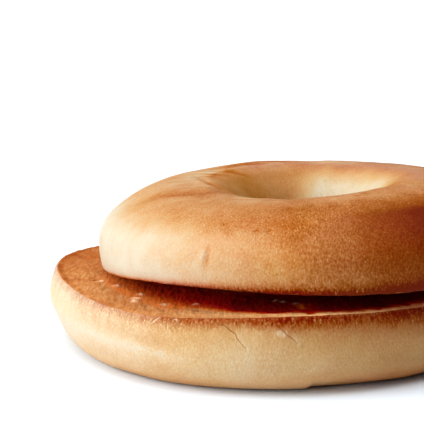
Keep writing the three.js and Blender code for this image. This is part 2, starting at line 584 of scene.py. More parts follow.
def by_turn(*pairs):
    """A value around the ring, from a few pairs of turn and value."""
    return np.interp(turn, *zip(*pairs))


def bands(half, rows):
    """Soft bands along the ring, from rows of the turns where each starts and is full, mm from
    the cut edge, width in mm and strength."""
    return sum(
        strength * smooth(start, full, turn) * bell(half.arc - arc, mm_wide)
        for start, full, arc, mm_wide, strength in rows
    )


# %% [markdown]
# ### The top half's three zones
# The side browns most towards the darkest side, partly real browning and partly painted shade.
# The crown browns more evenly, and the rim of the hole only a little. Each zone has its own
# pairs of turn and browning. Where one goes over into the next is uneven, as the dough is.

# %% Zones of the top half
side_brown_and_shade = by_turn(
    (35, 0.97), (50, 0.78), (60, 0.61), (70, 0.52), (80, 0.35), (100, 0.19), (125, 0.08),
    (150, 0.02),
)
# On the darkest side the crust is a little paler near the toasted edge.
side_brown_and_shade = side_brown_and_shade - 0.06 * smooth(9, 4, TOP.arc) * smooth(85, 70, turn)
crown_bake = by_turn((55, 0.53), (75, 0.52), (90, 0.41), (100, 0.36), (130, 0.28), (150, 0.27))
rim_bake = by_turn(
    (40, 0.38), (60, 0.35), (75, 0.4), (88, 0.3), (97, 0.23), (105, 0.24), (112, 0.32),
    (125, 0.37), (132, 0.31), (145, 0.31), (160, 0.24), (172, 0.17),
)
crown_starts = by_turn((45, 22), (60, 20.5), (75, 8), (120, 8.5))
crown_width = by_turn((60, 8), (85, 13), (115, 12), (130, 17), (150, 20))
uneven = layers(TOP.points, [(2.2, 14, 21), (1.0, 3, 22, (1, 1, 3))])
onto_crown = smooth(0, 1, (TOP.arc + uneven - crown_starts) / crown_width)
to_rim = smooth(27, 36, TOP.arc + 0.5 * uneven)
TOP.bake = lerp(lerp(side_brown_and_shade, crown_bake, onto_crown), rim_bake, to_rim)

# %% [markdown]
# ### Inside the hole
# The wall of the hole is olive brown, but pale on the side that faces the front, where it
# gets paler still further down. The turn says little in there, so the wall goes by azimuth.

# %% The wall of the hole
wall_from = 39 - 1.5 * bell(around_from(148), 14) + 2 * bell(around_from(178), 10)
brown_wall = lerp(0.38, 0.47, smooth(43, 47, TOP.arc))
brown_wall += 0.04 * bell(around_from(152), 14) - 0.08 * bell(around_from(174), 8)
pale_wall = lerp(0.41, 0.06, smooth(42, 51.5, TOP.arc))
facing_front = smooth(72, 30, np.abs(around_from(45)))
wall_bake = lerp(brown_wall, pale_wall, facing_front)
TOP.bake = lerp(TOP.bake, wall_bake, smooth(0, 2.5, TOP.arc + 0.3 * uneven - wall_from))

# %% [markdown]
# ### Small differences on the crown
# No part of the crown is evenly brown. Folds and dents are browner than what is around them,
# and in the folds' grooves that is partly painted shade. Blisters are paler, and ridges are
# paler as a painted highlight. The far rim caught some heat, and its ripples show as brown
# lines. Patches with a place of their own are rows of numbers, the rest is noise.

# %% Patches and blotches of the top half
TOP_BLOTCHES = [(0.05, 7, 26), (0.035, 2.6, 28), (0.02, 2.2, 33, (1, 1, 4))]
TOP_PATCHES = [(-115, 6, 17, 4, 0.08), (-62, 14, 25.5, 2.5, -0.1)]
# The first band pales the lower edge on the left, which lies in shade: painted light.
TOP_BANDS = [(100, 115, 3.2, 2.2, -0.05), (64, 52, 19, 5, 0.035), (64, 52, 6, 4, -0.035)]
DARK_RIPPLES = [(154, 16, 40, 3, 0.34)]
# Folds partly painted shade in the groove; the ridges' paleness is a painted highlight.
MARK_BROWNING_AND_LIGHT = {"fold": 0.17, "dent": 0.13, "blister": -0.08, "ridge": -0.12}

heat_at_back = smooth(25, 12, np.abs(around_from(122))) * bell(TOP.arc - 35, 3)
TOP.bake += 0.15 * heat_at_back + layers(TOP.points, TOP_BLOTCHES)
TOP.bake += 0.07 * lumps(rippled_skin, 1.0, 42) * bell(TOP.arc - 33, 5)
TOP.bake += lumps(rippled_skin, 1.0, 44) * patches(TOP, DARK_RIPPLES)
TOP.bake += patches(TOP, TOP_PATCHES) + bands(TOP, TOP_BANDS)
for mark, strength in MARK_BROWNING_AND_LIGHT.items():
    TOP.bake += strength * getattr(TOP, mark)
print(f"top half: browning from {TOP.bake.min():.2f} to {TOP.bake.max():.2f}")

# %% [markdown]
# ### The bottom half's browning
# The bottom half stayed paler. Its side is browner towards the darkest side, partly real
# browning and partly painted shade. It is tanned a few millimetres under its cut edge, where the
# heat got in between the halves, and on its heel, where it stood on the hot tray. The heel also
# gets a warmer colour: partly the tray, partly painted bounce light from the paper. The thin lip
# at the very edge is pale again. Zones that only add to what is under them are simply added.
# The wall of the hole replaces it, so it is joined with lerp.

# %% Zones of the bottom half
HOLE_BAKE = 0.25

side_brown_and_shade = by_turn(
    (35, 0.33), (45, 0.28), (55, 0.27), (65, 0.2), (75, 0.08), (85, 0.13), (105, 0.05),
    (115, 0.06), (130, 0.04), (145, 0.05),
)
tan_strength = by_turn((45, 0.12), (60, 0.09), (105, 0.08), (120, 0.09), (145, 0.07))
tan_zone = tan_strength * bell(BOTTOM.rim - 4.2, 3.4)
lip = 0.2 * smooth(0.9, 0.3, BOTTOM.rim) * smooth(72, 62, turn)
heel_bake = by_turn(
    (30, 0.36), (38, 0.25), (47, 0.08), (55, -0.12), (65, -0.04), (75, 0.03), (95, 0.2),
    (107, 0.32), (125, 0.0),
)
heel = heel_bake * smooth(14, 20, BOTTOM.arc)
underside = 0.3 * smooth(24, 30, BOTTOM.arc)
BOTTOM.bake = side_brown_and_shade + tan_zone - lip + heel + underside
BOTTOM.bake = lerp(BOTTOM.bake, HOLE_BAKE, smooth(46, 54, BOTTOM.arc))
# Warmer on the heel: partly tray browning, partly painted bounce light from the paper.
BOTTOM.warm = smooth(12.5, 19, BOTTOM.arc) * smooth(34, 26, BOTTOM.arc)

# %% [markdown]
# ### Small differences on the bottom half
# Halfway down, the left side has a paler band, and is browner above and below it. There is
# one paler patch at the front, and what the knife dragged down is streaked. Beside the lower
# part of the cracks the skin has lifted in pale flakes, and on the raised side of each crack
# the paleness is partly a painted highlight. They could be small meshes of their own, but they
# are thinner than the mesh is fine.

# %% Patches and blotches of the bottom half
BOTTOM_BLOTCHES = [(0.03, 9, 23), (0.03, 2.6, 29)]
BOTTOM_PATCHES = [(-77, 8, 12.5, 3, -0.09)]
LIFTED_FLAKES = [(-87.3, 3.6), (-86.6, 4.4)]

dragged = lumps(BOTTOM.points, 1.5, 36, (1, 1, 5)) * smooth(6.5, 3, BOTTOM.rim)
from_band = BOTTOM.arc - by_turn((88, 10.4), (93, 10.0), (99, 8.9), (105, 8.1), (125, 7.9))
banded = 0.08 * bell(from_band - 4.2, 2.5) - 0.06 * bell(from_band, 1.2)
banded += 0.05 * bell(from_band + 3, 1.7) * smooth(120, 104, turn)
BOTTOM.bake += layers(BOTTOM.points, BOTTOM_BLOTCHES) + patches(BOTTOM, BOTTOM_PATCHES)
BOTTOM.bake += 0.12 * dragged * smooth(78, 95, turn)
BOTTOM.bake += banded * smooth(86, 98, turn) * smooth(136, 122, turn)
# Pale on the raised side of each crack: partly lifted flakes, partly a painted highlight.
beside_crack = smooth(0.1, 0.4, BOTTOM.crack) * smooth(2.6, 0.4, BOTTOM.crack)
BOTTOM.flake = np.maximum(
    0.5 * beside_crack * smooth(3, 8, BOTTOM.arc),
    0.6 * near_spots(BOTTOM, LIFTED_FLAKES, 0.6),
)
print(f"bottom half: browning from {BOTTOM.bake.min():.2f} to {BOTTOM.bake.max():.2f}")

# %% [markdown]
# ### Toasted edges
# The toaster browned the cut faces, and just over the edge the crust too. That band is widest
# on the darkest side. On the bottom half's left it also runs in over the crumb, and the far rim
# there is scorched. It could be a mask painted along the edge, but the distance to the edge is
# known at every point, and a power of it says how suddenly the band ends.

# %% Toasted bands along the cut edges
def toasted_band(half, strength, width, power):
    """Full at the cut edge, and about a third of that a width away. A higher power ends it
    more suddenly."""
    return strength * np.exp(-(np.abs(half.rim / width) ** power)) * half.crust


top_strength = by_turn(
    (45, 0.75), (60, 0.6), (80, 0.76), (88, 0.6), (100, 0.52), (120, 0.5), (150, 0.55),
)
top_width = by_turn((60, 1.75), (80, 1.5), (95, 1.2), (110, 0.75), (122, 0.55))
TOP.toast = toasted_band(TOP, top_strength, top_width, 1.4)

bottom_strength = by_turn(
    (35, 0.62), (45, 0.46), (65, 0.64), (75, 0.54), (85, 0.46), (95, 0.42), (105, 0.25),
    (118, 0.28), (145, 0.16),
)
bottom_strength = bottom_strength * (1 + 0.3 * lumps(BOTTOM.points, 1.7, 35))
bottom_width = by_turn((38, 3.4), (50, 3.0), (65, 3.2), (75, 2.3), (85, 2.4), (120, 1.8))
bottom_width = bottom_width * (1 + 0.18 * lumps(BOTTOM.points, 3.5, 34))
BOTTOM.toast = toasted_band(BOTTOM, bottom_strength, bottom_width, 2.2)
onto_crumb = smooth(-2.5, -0.4, BOTTOM.rim) * ~BOTTOM.crust
BOTTOM.toast += 0.7 * onto_crumb * smooth(115, 150, turn)
BOTTOM.scorched = by_turn((146, 0), (160, 0.4), (172, 0.62)) + 0.2 * lumps(BOTTOM.points, 4, 38)

# %% [markdown]
# ### Painted shade on the covered crumb
# Where the top half covers the bottom half's cut face, its shade is painted into the crumb's
# colour. Going in from the rim, the crumb is unshaded at first. Then the painted shade sets in
# over a short way and gets darker further in, and it fades out again near the hole. The top
# half's own cut face faces down and is painted dark too. At the front right, the strip along the
# rim that the lamps reach is painted lighter and golden. One number says how deep the painted
# shade is and another how much painted light the strip has, and the material makes colours of
# both.

# %% How moist and how golden the cut faces are
# Spots with less painted shade: azimuth, and mm from the hole's axis.
LESS_SHADE_SPOTS = [(-80, 41.8), (-80.3, 43.4), (-80.6, 45)]
SHADE_AT_FIRST = 0.3

# From the rim, the crumb is unshaded down to this many mm from the hole's axis.
unshaded_to = by_turn(
    (40, 51.2), (50, 50.7), (60, 50.2), (70, 49.9), (80, 47.4), (90, 44.6), (100, 45.0),
    (110, 43.3), (120, 42), (140, 41), (150, 39.5),
)
past = unshaded_to - BOTTOM.radius + layers(BOTTOM.points, [(0.9, 1.3, 27, (3.5, 1, 1)), (0.6, 5, 37)])
moist_way = by_turn((40, 1.0), (80, 1.2), (100, 3.0), (140, 3.5))
deepest = by_turn(
    (40, 1), (50, 0.94), (80, 0.96), (90, 0.76), (100, 0.73), (110, 0.68), (120, 0.6),
    (140, 0.45),
)
deep_way = by_turn((40, 2.2), (80, 2.2), (100, 8))
BOTTOM.moist = SHADE_AT_FIRST * smooth(-moist_way, moist_way, past)
BOTTOM.moist += (deepest - SHADE_AT_FIRST) * smooth(0, deep_way, past)
BOTTOM.moist *= smooth(22, 31, BOTTOM.radius)
# A thin fringe of light painted shade just outside the shaded part, on the left.
shade_fringe = 0.12 * bell(past + 1.2, 2.2) * smooth(85, 105, turn)
BOTTOM.moist = np.maximum(BOTTOM.moist, shade_fringe)
BOTTOM.moist -= 0.68 * near_spots(BOTTOM, LESS_SHADE_SPOTS, 2.0, on_cut=True)
# The top half's cut face faces down: painted shade, a little at its edge and full further in.
TOP.moist = 0.16 * smooth(0.5, -0.5, TOP.rim) + 0.84 * smooth(-1.5, -4, TOP.rim)
# Painted light on the strip along the rim, strongest at the front right, less at the very edge.
BOTTOM.gold = by_turn((60, 1), (70, 0.65), (80, 0.35), (90, 0.22), (100, 0.06), (110, 0))
BOTTOM.gold = BOTTOM.gold * (1 - 0.6 * smooth(50.5, 53, BOTTOM.radius) * smooth(55, 70, turn))

# %% [markdown]
# ### Glints and pits
# A few crumbs stand up and catch the light. At the far left four larger bubbles opened.
# Tiny highlights are hard to place with lamps, so each glint is a small bump with a painted
# highlight colour and a smoother surface.

# %% Glints and pits on the bottom half
# Azimuth, and mm from the hole's axis.
GLINTS = [
    (-135.4, 45.2), (-134.0, 46.2), (-132.6, 47.2), (-134.4, 44.2), (-138.2, 41.9),
    (-150.6, 43.0), (-157.8, 45.1), (-123.6, 44.7), (-114.6, 41.4), (-87.6, 36.3),
    (-85.2, 37.6), (-81, 39.5),
]
PITS = [(166, 54.2), (165, 53.4), (-163, 46), (-161, 46.6)]
GLINT_HEIGHT = 0.42
PIT_DEPTH = 0.6

glints = near_spots(BOTTOM, GLINTS, 0.7, on_cut=True)
pits = near_spots(BOTTOM, PITS, 0.8, on_cut=True)
BOTTOM.relief += GLINT_HEIGHT * glints - PIT_DEPTH * pits
# The painted highlight is weaker where the painted shade is deep.
BOTTOM.glint = glints * (0.9 - 0.35 * smooth(0.3, 0.8, BOTTOM.moist))
# Painted shade in the pits.
BOTTOM.pore += 2 * pits
print(f"{len(GLINTS)} glints, {len(PITS)} pits")

# %% [markdown]
# ### Depth and hue of the colour
# Crust of one brownness is not all of one colour. It is deeper on the golden side of the
# crown, and duller and more yellow on the bottom half's left. Just under the cut edges it is
# redder. Near and on the far rim, seen edge-on, it is duller and pinker: a painted sheen. In
# the hole it turns a slightly olive brown. More stops on the ramp couldn't say so, as they only
# know how brown the crust is. A number for the depth, 1 being plain, and a turn of the hue in
# degrees do.

# %% Depth of the colour
VIVID_BANDS = [(105, 135, 1, 3.5, 0.2), (105, 135, 9.5, 3.5, -0.08), (125, 150, 5.5, 3, 0.2)]
VIVID_PATCHES = [(-97, 8, 7, 5, 0.07), (150, 18, 40, 2.6, 0.07), (98, 20, 39, 4, 0.08)]

in_wall = smooth(38, 44, TOP.arc) * TOP.crust
at_back = smooth(85, 65, np.abs(around_from(60)))
at_far_rim = smooth(50, 25, np.abs(around_from(140))) * bell(TOP.arc - 35, 3.5)
crown_depth = (0.03 + 0.03 * bell(TOP.arc - 16, 5)) * onto_crown * (1 - to_rim)
TOP.vivid = 1 + crown_depth + 0.04 * in_wall + 0.06 * at_far_rim
# Duller near and on the far rim: a painted sheen.
TOP.vivid -= (0.04 * to_rim + 0.08 * bell(TOP.arc - 40, 3)) * at_back
TOP.vivid += bands(TOP, VIVID_BANDS) + patches(TOP, VIVID_PATCHES)
dull = by_turn((95, 0), (105, 0.1), (115, 0.15), (125, 0.2), (135, 0.25))
BOTTOM.vivid = 1 - dull * smooth(15, 11, BOTTOM.arc) * BOTTOM.crust

# %% Hue of the colour
REDDER_BANDS = [(55, 75, 0, 2.2, -4), (85, 110, 0, 2.2, -4.5)]
YELLOWER_BANDS = [(85, 110, 15, 9, 1.5)]
FULL_TURN = 360

top_degrees = bands(TOP, REDDER_BANDS + YELLOWER_BANDS)
# The hole turns olive; the top of the far rim is a little pinker, part of the painted sheen.
top_degrees += 4 * smooth(42, 48, TOP.arc) * TOP.crust - 3 * bell(TOP.arc - 40, 1.8) * at_back
bottom_degrees = by_turn((110, 0), (120, 1.5), (135, 5)) * bell(BOTTOM.arc - 6, 4)
bottom_degrees = (bottom_degrees - 3 * bell(BOTTOM.arc, 1.6)) * BOTTOM.crust
for half, degrees in ((TOP, top_degrees), (BOTTOM, bottom_degrees)):
    half.tint = layers(half.points, [(1, 8, 40), (0.6, 3, 41)])
    half.hue = 0.5 + degrees / FULL_TURN - 0.004 * half.tint
    print(f"{half.name}: hue turned by {degrees.min():.1f} to {degrees.max():.1f} degrees")

# %% [markdown]
# ### Border and grain
# Crust and crumb meet at the cut edge, but at the front the crust reaches a little over it.
# The fine grain of the skin shows most on golden crust, and less where it is pale or dark. A
# pattern in plain space would look sawn through on a curved skin. So the grain is laid on
# the unrolled skin, an upright ring as wide as the bagel.

# %% Where the crust ends, and how grainy it is
GRAINY_BY_BAKE = [(0, 0.04), (0.1, 0.14), (0.3, 0.6), (0.5, 1.0), (0.7, 0.98), (0.9, 0.6)]
UNROLL_RADIUS = 45.0
GRAIN_DRAWN_OUT = 1.7

TOP.border = TOP.rim
BOTTOM.border = BOTTOM.rim + 0.4 * bell(around_from(-102), 14)
TOP.grainy = np.interp(TOP.bake, *zip(*GRAINY_BY_BAKE))
TOP.grainy *= lerp(0.75, 1, onto_crown) * (1 - 0.45 * in_wall)
BOTTOM.grainy = 0.33 + 0.25 * smooth(6, 2, BOTTOM.rim) * smooth(80, 95, turn)
for half in (BOTTOM, TOP):
    half.unrolled = unroll(half, UNROLL_RADIUS, GRAIN_DRAWN_OUT) * MM

# %% [markdown]
# ## Meshes
# The sheets become meshes, with the numbers stored on their points as attributes. Vertex
# colours could hold them too, but attributes have names that a material can ask for. Each
# mesh takes the place of its solid and rides on the same body.

# %% Make the meshes
STORED = (
    "bake", "toast", "warm", "tint", "grainy", "border", "crack", "hook", "tear", "flake", "pore",
    "moist", "gold", "scorched", "glint", "vivid", "hue",
)
ONLY_ON_BOTTOM = ("warm", "flake", "gold", "scorched", "glint")

# The material asks for all of them on both halves.
for name in ONLY_ON_BOTTOM:
    setattr(TOP, name, 0 * TOP.arc)


def rolled_up_quads(half):
    """The corners of every quad, turned so that the normals point out."""
    rows, columns = half.arc.shape
    row = np.arange(rows)[:, None]
    column = np.arange(columns)[None, :]
    here = row * columns + column
    beside = (row + 1) % rows * columns + column
    onward = (column + 1) % columns
    quads = np.stack([here, beside, beside - column + onward, here - column + onward], -1)
    return quads.reshape(-1, 4)[:, ::half.facing].tolist()


def make_half(half):
    """The mesh of a half, with what the material needs stored on its points."""
    points = (half.points + half.relief[..., None] * half.normal) * MM
    points[..., 2] = np.maximum(points[..., 2], 0)
    mesh = bpy.data.meshes.new(half.name + "_bread")
    mesh.from_pydata(points.reshape(-1, 3).tolist(), [], rolled_up_quads(half))
    mesh.shade_smooth()
    for name in STORED:
        values = np.clip(getattr(half, name) + 0 * half.arc, -FAR_OFF_MM, FAR_OFF_MM)
        stored = mesh.attributes.new(name, "FLOAT", "POINT")
        stored.data.foreach_set("value", values.astype(np.float32).ravel())
    unrolled = mesh.attributes.new("unrolled", "FLOAT_VECTOR", "POINT")
    unrolled.data.foreach_set("vector", half.unrolled.astype(np.float32).ravel())
    piece = bpy.data.objects.new(half.name + "_bread", mesh)
    bpy.context.scene.collection.objects.link(piece)
    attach(piece, "root")
    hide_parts(half.name)
    return piece


bottom_piece = make_half(BOTTOM)
top_piece = make_half(TOP)
for piece in (bottom_piece, top_piece):
    print(f"{piece.name}: {len(piece.data.polygons)} quads")

# %% [markdown]
# ## Materials
# Both halves are bread: a thin baked crust around a toasted crumb. Crust and crumb share one
# surface, and which one shows depends on the distance to the cut edge. One material with a
# ragged border between the two does that better than two materials split along the mesh.
# Colours are sRGB hex values, turned to linear by one function, and one small function adds
# every node.

# %% Colours and nodes
def linear(hex_colour):
    """sRGB hex to the linear colour that shaders take."""
    parts = [int(hex_colour[i:i + 2], 16) / 255 for i in (1, 3, 5)]
    return [p / 12.92 if p <= 0.04045 else ((p + 0.055) / 1.055) ** 2.4 for p in parts] + [1]


def add(tree, kind, settings=None, inputs=None):
    """A new node with its settings, its input values and its links. An input may be a number,
    a hex colour, an output of another node, or another node, whose first output is linked."""
    node = tree.nodes.new(kind)
    for name, value in (settings or {}).items():
        setattr(node, name, value)
    for name, value in (inputs or {}).items():
        if isinstance(value, bpy.types.Node):
            value = value.outputs[0]
        if isinstance(value, bpy.types.NodeSocket):
            tree.links.new(value, node.inputs[name])
        else:
            node.inputs[name].default_value = linear(value) if isinstance(value, str) else value
    return node


def set_ramp(node, stops):
    """Gives a colour ramp its stops of (place, hex colour)."""
    elements = node.color_ramp.elements
    while len(elements) < len(stops):
        elements.new(0.5)
    for element, (place, hex_colour) in zip(elements, stops):
        element.position = place
        element.color = linear(hex_colour)


MULTIPLY = {"operation": "MULTIPLY"}
MULTIPLY_ADD = {"operation": "MULTIPLY_ADD"}
SOFT_STEP = {"interpolation_type": "SMOOTHSTEP"}
COLOURS = {"data_type": "RGBA"}
# A Mix node has its own sockets for numbers, vectors and colours: two to mix, and the result.
NUMBER_A, NUMBER_B = 2, 3
VECTOR_A, VECTOR_B, VECTOR_OUT = 4, 5, 1
COLOUR_A, COLOUR_B, COLOUR_OUT = 6, 7, 2

# %% [markdown]
# ### Fine patterns
# What is finer than the mesh comes from patterns in the material, each with a real size. The
# boiled skin has a grain of tiny blisters, a little under a millimetre apart. Some of them
# stand out as pale dots, partly painted glints on their tops. Under the cut edges it has fine
# upright streaks, left by the knife, so that pattern is drawn out in height. The crumb has its
# own rough grain, drawn out the way the knife went.

# %% Fine patterns
GRAIN_MM = 0.37
DOT_MM = 0.52
DOT_EDGE, DOT_CORE = 0.45, 0.1  # shares of the spacing between dots
STREAK_MM = 0.45
STREAK_DRAWN_OUT = 3.0
CRUMB_MM = 0.9
CRUMB_DRAWN_OUT = 3.5


def fine_patterns(tree):
    """The patterns that crust and crumb are made from, each from 0 to 1."""
    place = add(tree, "ShaderNodeTexCoord").outputs["Object"]
    skin = add(tree, "ShaderNodeAttribute", {"attribute_name": "unrolled"}).outputs["Vector"]
    upright = add(tree, "ShaderNodeMapping", {}, {
        "Vector": skin,
        "Scale": (1, 1, 1 / STREAK_DRAWN_OUT),
    })
    sawn = add(tree, "ShaderNodeMapping", {}, {
        "Vector": place,
        "Scale": (1, 1 / CRUMB_DRAWN_OUT, 1),
    })
    cells = add(tree, "ShaderNodeTexVoronoi", {}, {"Vector": skin, "Scale": 1 / (DOT_MM * MM)})
    chance = add(tree, "ShaderNodeSeparateColor", {}, {"Color": cells.outputs["Color"]})
    round_dot = add(tree, "ShaderNodeMapRange", SOFT_STEP, {
        "Value": cells.outputs["Distance"],
        "From Min": DOT_EDGE,
        "From Max": DOT_CORE,
    })
    patterns = {
        name: add(tree, "ShaderNodeTexNoise", {}, {
            "Vector": vector, "Scale": 1 / (size * MM), "Detail": detail,
        })
        for name, vector, size, detail in (
            ("grain", skin, GRAIN_MM, 2.0),
            ("streak", upright, STREAK_MM, 2.0),
            ("crumb", sawn, CRUMB_MM, 4.0),
        )
    }
    patterns["dot"] = add(tree, "ShaderNodeMath", MULTIPLY, {0: round_dot, 1: chance.outputs[0]})
    return patterns


# %% [markdown]
# ### The crust's colour
# Baked crust runs from cream over gold and chestnut to a red brown that is nearly burnt, as
# sugars and proteins brown together. One ramp holds that run, and everything that browns the
# crust only moves the place on the ramp: the stored browning, the toasted band under the cut
# edge, and the grain, which shows more where the crust is browner.

# %% The run from pale to nearly burnt
GOLDEN_CRUST = [
    (0.0, "#bfb4a0"),
    (0.1, "#baa88e"),
    (0.2, "#b89773"),
    (0.3, "#b5895e"),
    (0.45, "#a97043"),
    (0.6, "#96582a"),
    (0.75, "#823f0c"),
    (0.9, "#712903"),
    (1.0, "#631700"),
]
PALE_CRUST = [
    (0.0, "#c0b59c"),
    (0.1, "#c4a67e"),
    (0.2, "#bd9667"),
    (0.3, "#b28755"),
    (0.45, "#a36f41"),
    (0.6, "#95582a"),
    (0.75, "#86400c"),
    (0.9, "#762704"),
    (1.0, "#6a1802"),
]
# How much each pattern moves the place on the ramp, and what is taken off again, so that the
# crust stays as brown as a whole.
# The pale dots are partly painted glints.
SPECKLES = {"grain": 0.8, "streak": 0.15, "dot": -0.22}
SPECKLES_EVENED = -0.4
# The same for the toasted band: streaks make it stronger and weaker, and dots show through it.
TOAST_STREAKS = {"streak": 1.4, "grain": 1.1, "dot": -0.6}
TOAST_EVENED = -0.1


def crust_brown(tree, stored, fine):
    """How brown the crust is, with its fine patterns."""
    speckle, streaky = SPECKLES_EVENED, TOAST_EVENED
    for name, strength in SPECKLES.items():
        speckle = add(tree, "ShaderNodeMath", MULTIPLY_ADD, {0: fine[name], 1: strength, 2: speckle})
    for name, strength in TOAST_STREAKS.items():
        streaky = add(tree, "ShaderNodeMath", MULTIPLY_ADD, {0: fine[name], 1: strength, 2: streaky})
    brown = add(tree, "ShaderNodeMath", MULTIPLY_ADD, {
        0: speckle, 1: stored["grainy"], 2: stored["bake"],
    })
    return add(tree, "ShaderNodeMath", MULTIPLY_ADD, {0: stored["toast"], 1: streaky, 2: brown})


# %% [markdown]
# ### What lies on the crust
# The heel is warmer: partly where it stood on the tray, partly painted bounce light from the
# paper. Flakes of lifted skin are pale. A crack is a thin brown line, partly painted shade in
# its groove, and the rolled-up skin of a hook is a thin pale thread with its own painted shade
# beside it. Each of them is laid over the crust's colour in turn, with a Mix node.

# %% The crust's colour
# The heel's warmth is partly tray browning, partly painted bounce light from the paper.
HEEL_COLOUR = "#d6935a"
HEEL_STRENGTH = 0.4
FLAKE_COLOUR = "#d7c4a3"
# Crack lines are partly painted shade in the groove; the hook's shade beside its thread is painted.
CRACK_AND_SHADE_COLOUR = "#713816"
# Thin lines: which distance, how far beside the line, half width in mm, strength and colour.
THIN_LINES = (
    ("crack", 0.0, 0.3, 0.7, CRACK_AND_SHADE_COLOUR),
    ("tear", 0.0, 0.5, 0.8, CRACK_AND_SHADE_COLOUR),
    ("hook", 0.45, 0.4, 0.6, CRACK_AND_SHADE_COLOUR),
    ("hook", 0.0, 0.42, 0.38, FLAKE_COLOUR),
)


def crust_colour(tree, stored, fine, stops):
    """The crust's colour at every point."""
    crust = add(tree, "ShaderNodeValToRGB", {}, {"Fac": crust_brown(tree, stored, fine)})
    set_ramp(crust, stops)
    warm = add(tree, "ShaderNodeMath", MULTIPLY, {0: stored["warm"], 1: HEEL_STRENGTH})
    crust = add(tree, "ShaderNodeMix", COLOURS, {
        "Factor": warm, COLOUR_A: crust, COLOUR_B: HEEL_COLOUR,
    })
    crust = add(tree, "ShaderNodeHueSaturation", {}, {
        "Hue": stored["hue"], "Saturation": stored["vivid"], "Color": crust.outputs[COLOUR_OUT],
    })
    crust = add(tree, "ShaderNodeMix", COLOURS, {
        "Factor": stored["flake"], COLOUR_A: crust, COLOUR_B: FLAKE_COLOUR,
    })
    for line, beside, width, strength, line_colour in THIN_LINES:
        off = add(tree, "ShaderNodeMath", {"operation": "ADD"}, {0: stored[line], 1: beside})
        off = add(tree, "ShaderNodeMath", {"operation": "ABSOLUTE"}, {0: off})
        thin = add(tree, "ShaderNodeMapRange", SOFT_STEP, {
            "Value": off, "From Min": width, "From Max": 0.0, "To Max": strength,
        })
        crust = add(tree, "ShaderNodeMix", COLOURS, {
            "Factor": thin, COLOUR_A: crust.outputs[COLOUR_OUT], COLOUR_B: line_colour,
        })
    return crust.outputs[COLOUR_OUT]


# %% [markdown]
# ### The crumb's colour
# Toasted crumb is dry and matt, golden brown, with painted shade darkening its bubbles. Where
# the top half covers it, its shade is painted in: a glowing orange at the border, then a dark
# red brown further in.

# %% The crumb's colour
CRUMB_STOPS = [(0.3, "#c18e5a"), (0.5, "#ac6c39"), (0.7, "#89461b")]
# Painted shade on the covered crumb, from a glowing orange to a dark red brown.
COVER_SHADE_STOPS = [
    (0.1, "#d47633"), (0.3, "#c75514"), (0.5, "#bb320b"), (0.75, "#b90a09"), (1.0, "#750708"),
]
# Painted light on the lit strip.
LIT_STRIP_COLOUR = "#ffce89"
SCORCHED_COLOUR = "#984a19"
# A painted highlight.
GLINT_COLOUR = "#ffdcae"
FULL_SHADE_FROM = 0.12  # from this much painted shade on, nothing of the unshaded colour shows
# How brown dry crumb is without its patterns, and what its patterns add; the pores' share is painted
# shade in the bubbles.
PLAIN_CRUMB = 0.18
CRUMB_GRAIN = 0.55
CRUMB_BROWNING_AND_SHADE = {"tint": 0.08, "pore": 0.15, "toast": 0.3}


def crumb_colour(tree, stored, fine):
    """The cut faces' colour at every point."""
    toasted = add(tree, "ShaderNodeMath", MULTIPLY_ADD, {
        0: fine["crumb"], 1: CRUMB_GRAIN, 2: PLAIN_CRUMB,
    })
    for name, strength in CRUMB_BROWNING_AND_SHADE.items():
        toasted = add(tree, "ShaderNodeMath", MULTIPLY_ADD, {
            0: stored[name], 1: strength, 2: toasted,
        })
    dry = add(tree, "ShaderNodeValToRGB", {}, {"Fac": toasted})
    set_ramp(dry, CRUMB_STOPS)
    moist = add(tree, "ShaderNodeValToRGB", {}, {"Fac": stored["moist"]})
    set_ramp(moist, COVER_SHADE_STOPS)
    is_moist = add(tree, "ShaderNodeMapRange", SOFT_STEP, {
        "Value": stored["moist"], "From Min": 0.0, "From Max": FULL_SHADE_FROM,
    })
    crumb = dry.outputs["Color"]
    for share, over in (
        (stored["gold"], LIT_STRIP_COLOUR),
        (stored["scorched"], SCORCHED_COLOUR),
        (is_moist, moist),
        (stored["glint"], GLINT_COLOUR),
    ):
        crumb = add(tree, "ShaderNodeMix", COLOURS, {
            "Factor": share, COLOUR_A: crumb, COLOUR_B: over,
        }).outputs[COLOUR_OUT]
    return crumb


# %% [markdown]
# ### Relief that is too fine for the mesh
# The pebbled skin, its streaks and the rough crumb are less than a tenth to a few tenths of a
# millimetre high. Real shape that fine would take millions of quads, so it is bump: it only
# turns the way the surface faces the light.

# %% Fine relief
SKIN_RELIEF_MM = 0.09
STREAK_RELIEF_MM = 0.06
CRUMB_RELIEF_MM = 0.4


def fine_relief(tree, fine, is_crust):
    """The way the surface faces, on crust and on crumb."""
    streaks = add(tree, "ShaderNodeBump", {}, {
        "Height": fine["streak"], "Distance": STREAK_RELIEF_MM * MM,
    })
    pebbles = add(tree, "ShaderNodeMath", {"operation": "ADD"}, {0: fine["grain"], 1: fine["dot"]})
    skin = add(tree, "ShaderNodeBump", {}, {
        "Height": pebbles, "Distance": SKIN_RELIEF_MM * MM, "Normal": streaks,
    })
    rough = add(tree, "ShaderNodeBump", {}, {
        "Height": fine["crumb"], "Distance": CRUMB_RELIEF_MM * MM,
    })
    return add(tree, "ShaderNodeMix", {"data_type": "VECTOR"}, {
        "Factor": is_crust, VECTOR_A: rough, VECTOR_B: skin,
    }).outputs[VECTOR_OUT]


# %% [markdown]
# ### Bread
# Boiled and baked dough is starch set to a gel: a low, even satin with hardly any shine, warm
# in the browned parts, so the tint of the shine is warm too. The toasted crumb is rough and
# matt, and where it is covered only its glints shine, with a smoother surface and a painted
# highlight colour.

